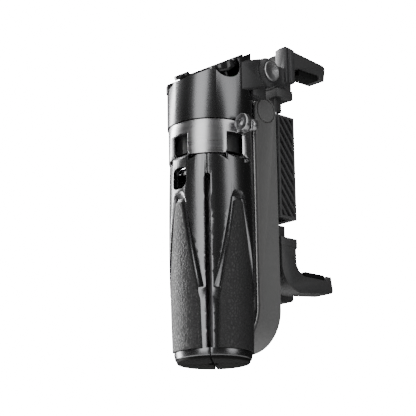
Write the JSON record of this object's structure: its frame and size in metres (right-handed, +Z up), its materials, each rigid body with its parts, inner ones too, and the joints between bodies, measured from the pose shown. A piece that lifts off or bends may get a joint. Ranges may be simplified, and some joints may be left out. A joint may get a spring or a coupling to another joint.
{
  "type": "folding phone gimbal",
  "caption": "Folded handheld phone stabiliser: a round handle whose grips open as a stand, a telescopic mast, a control head, and a folding arm with a motor-driven spring clamp.",
  "frame": {"origin": "on the handle's axis at mid-grip height, where the hand holds it", "axes": "+Z up the handle towards the control head, +Y from the handle to the phone clamp, +X along the gripped phone's long side"},
  "size_m": [0.0476, 0.0747, 0.1257],
  "materials": {
    "gunmetal": "satin",
    "silver": "brushed",
    "leather": "pebbled",
    "dark_trim": "matte",
    "arm_shell": "matte",
    "arm_core": "satin",
    "clamp_body": "matte",
    "jaw_body": "satin",
    "rubber": "matte",
    "steel": "polished",
    "tube": "satin",
    "controls": "satin",
    "board": "satin",
    "cell": "satin",
    "copper": "satin",
    "accessory": "satin",
    "gear": "satin"
  },
  "bodies": {
    "handle": {"collar": "silver", "collar_screw": "silver", "collar_nut": "silver", "leg_hub": "dark_trim", "leg_hinge_pins": "steel", "mast_outer_tube": "tube"},
    "right_leg": {"right_leg_shell": "gunmetal", "right_leg_pad": "leather", "right_leg_foot": "dark_trim"},
    "back_leg": {"back_leg_shell": "gunmetal", "back_leg_pad": "leather", "back_leg_foot": "dark_trim"},
    "left_leg": {"left_leg_shell": "gunmetal", "left_leg_pad": "leather", "left_leg_foot": "dark_trim"},
    "front_leg": {"front_leg_shell": "gunmetal", "front_leg_pad": "leather", "front_leg_foot": "dark_trim"},
    "mast_middle": {"mast_middle_tube": "tube"},
    "mast_inner": {"mast_inner_tube": "tube", "mast_top_boss": "tube"},
    "head": {"head_housing": "gunmetal", "arm_horn": "gunmetal", "control_panel": "dark_trim", "control_board": "board", "battery": "cell", "joystick_base": "dark_trim", "hinge_bracket": "arm_core", "hinge_pin": "steel"},
    "power_key": {"power_button": "controls"},
    "mode_key": {"mode_button": "controls"},
    "zoom_wheel": {"zoom_dial": "controls"},
    "side_key": {"side_button": "controls"},
    "stick_yoke": {"joystick_yoke": "dark_trim"},
    "stick": {"joystick": "controls"},
    "accessory": {"accessory_shaft": "silver", "accessory_plate": "accessory"},
    "arm": {"arm_frame": "arm_core", "arm_cover": "arm_shell", "pivot_cap": "arm_shell", "motor_housing": "arm_core", "motor_stator": "copper", "motor_bearings": "steel"},
    "clamp": {"motor_rotor": "steel", "clamp_housing": "clamp_body", "clamp_front_cover": "clamp_body", "clamp_cover_screws": "steel", "phone_pad": "rubber", "side_grilles": "clamp_body", "upper_clamp_springs": "steel", "lower_clamp_springs": "steel"},
    "pinion": {"sync_pinion": "gear"},
    "upper_grip": {"upper_jaw": "jaw_body", "upper_jaw_pads": "rubber", "upper_carriage": "jaw_body", "upper_guide_rods": "steel"},
    "lower_grip": {"lower_jaw": "jaw_body", "lower_jaw_pads": "rubber", "lower_carriage": "jaw_body", "lower_guide_rods": "steel"}
  },
  "joints": [
    {"name": "right_leg_swing", "type": "hinge", "parent": "handle", "child": "right_leg", "pos_m": [0.01238, -0.00076, 0.0338], "axis": [-0.061, -0.9981, 0], "range_deg": [0, 50]},
    {"name": "back_leg_swing", "type": "hinge", "parent": "handle", "child": "back_leg", "pos_m": [0.00076, 0.01238, 0.0338], "axis": [0.9981, -0.061, 0], "range_deg": [0, 3]},
    {"name": "left_leg_swing", "type": "hinge", "parent": "handle", "child": "left_leg", "pos_m": [-0.01238, 0.00076, 0.0338], "axis": [0.061, 0.9981, 0], "range_deg": [0, 50]},
    {"name": "front_leg_swing", "type": "hinge", "parent": "handle", "child": "front_leg", "pos_m": [-0.00076, -0.01238, 0.0338], "axis": [-0.9981, 0.061, 0], "range_deg": [0, 50]},
    {"name": "mast_lower_slide", "type": "slide", "parent": "handle", "child": "mast_middle", "axis": [0, 0, 1], "range_m": [0, 0.058]},
    {"name": "mast_upper_slide", "type": "slide", "parent": "mast_middle", "child": "mast_inner", "axis": [0, 0, 1], "range_m": [0, 0.058]},
    {"name": "head_pan", "type": "hinge", "parent": "mast_inner", "child": "head", "pos_m": [0, 0, 0.05], "axis": [0, 0, 1], "range_deg": [-50, 180]},
    {"name": "arm_fold", "type": "hinge", "parent": "head", "child": "arm", "pos_m": [0, 0.02475, 0.0594], "axis": [1, 0, 0], "range_deg": [0, 42]},
    {"name": "clamp_roll", "type": "hinge", "parent": "arm", "child": "clamp", "pos_m": [-0.00935, 0.025, 0.0396], "axis": [0, 1, 0], "range_deg": [-90, 90]},
    {"name": "upper_jaw_slide", "type": "slide", "parent": "clamp", "child": "upper_grip", "axis": [0, 0, 1], "range_m": [-0.007, 0.004], "deforming": ["upper_clamp_springs"]},
    {"name": "lower_jaw_slide", "type": "slide", "parent": "clamp", "child": "lower_grip", "axis": [0, 0, -1], "range_m": [-0.007, 0.004], "deforming": ["lower_clamp_springs"]},
    {"name": "pinion_spin", "type": "hinge", "parent": "clamp", "child": "pinion", "pos_m": [-0.00935, 0.035, 0.0396], "axis": [0, 1, 0], "range_deg": [-64, 112]},
    {"name": "accessory_swing", "type": "hinge", "parent": "head", "child": "accessory", "pos_m": [0.014, 0.0162, 0.0699], "axis": [1, 0, 0], "range_deg": [-50, 90]},
    {"name": "power_press", "type": "slide", "parent": "head", "child": "power_key", "axis": [0, 0.4695, -0.8829], "range_m": [0, 0.0005], "stiffness_N_per_m": 400, "springref_m": -0.0005},
    {"name": "mode_press", "type": "slide", "parent": "head", "child": "mode_key", "axis": [0, 0.4695, -0.8829], "range_m": [0, 0.0005], "stiffness_N_per_m": 400, "springref_m": -0.0005},
    {"name": "side_press", "type": "slide", "parent": "head", "child": "side_key", "axis": [0.5299, 0.848, 0], "range_m": [0, 0.0004], "stiffness_N_per_m": 400, "springref_m": -0.0005},
    {"name": "zoom_turn", "type": "hinge", "parent": "head", "child": "zoom_wheel", "pos_m": [0.011, -0.00394, 0.06817], "axis": [0, -0.4695, 0.8829], "range_deg": [-30, 30], "stiffness_Nm_per_rad": 0.004},
    {"name": "stick_tilt_side", "type": "hinge", "parent": "head", "child": "stick_yoke", "pos_m": [-0.0046, -0.00745, 0.0641], "axis": [0, 0.8829, 0.4695], "range_deg": [-10, 10], "stiffness_Nm_per_rad": 0.01},
    {"name": "stick_tilt_front", "type": "hinge", "parent": "stick_yoke", "child": "stick", "pos_m": [-0.0046, -0.00745, 0.0641], "axis": [1, 0, 0], "range_deg": [-10, 10], "stiffness_Nm_per_rad": 0.01}
  ],
  "couplings": [
    {"joint": "lower_jaw_slide", "follows": "upper_jaw_slide", "ratio": 1},
    {"joint": "pinion_spin", "follows": "upper_jaw_slide", "rad_per_m": -277.78}
  ]
}
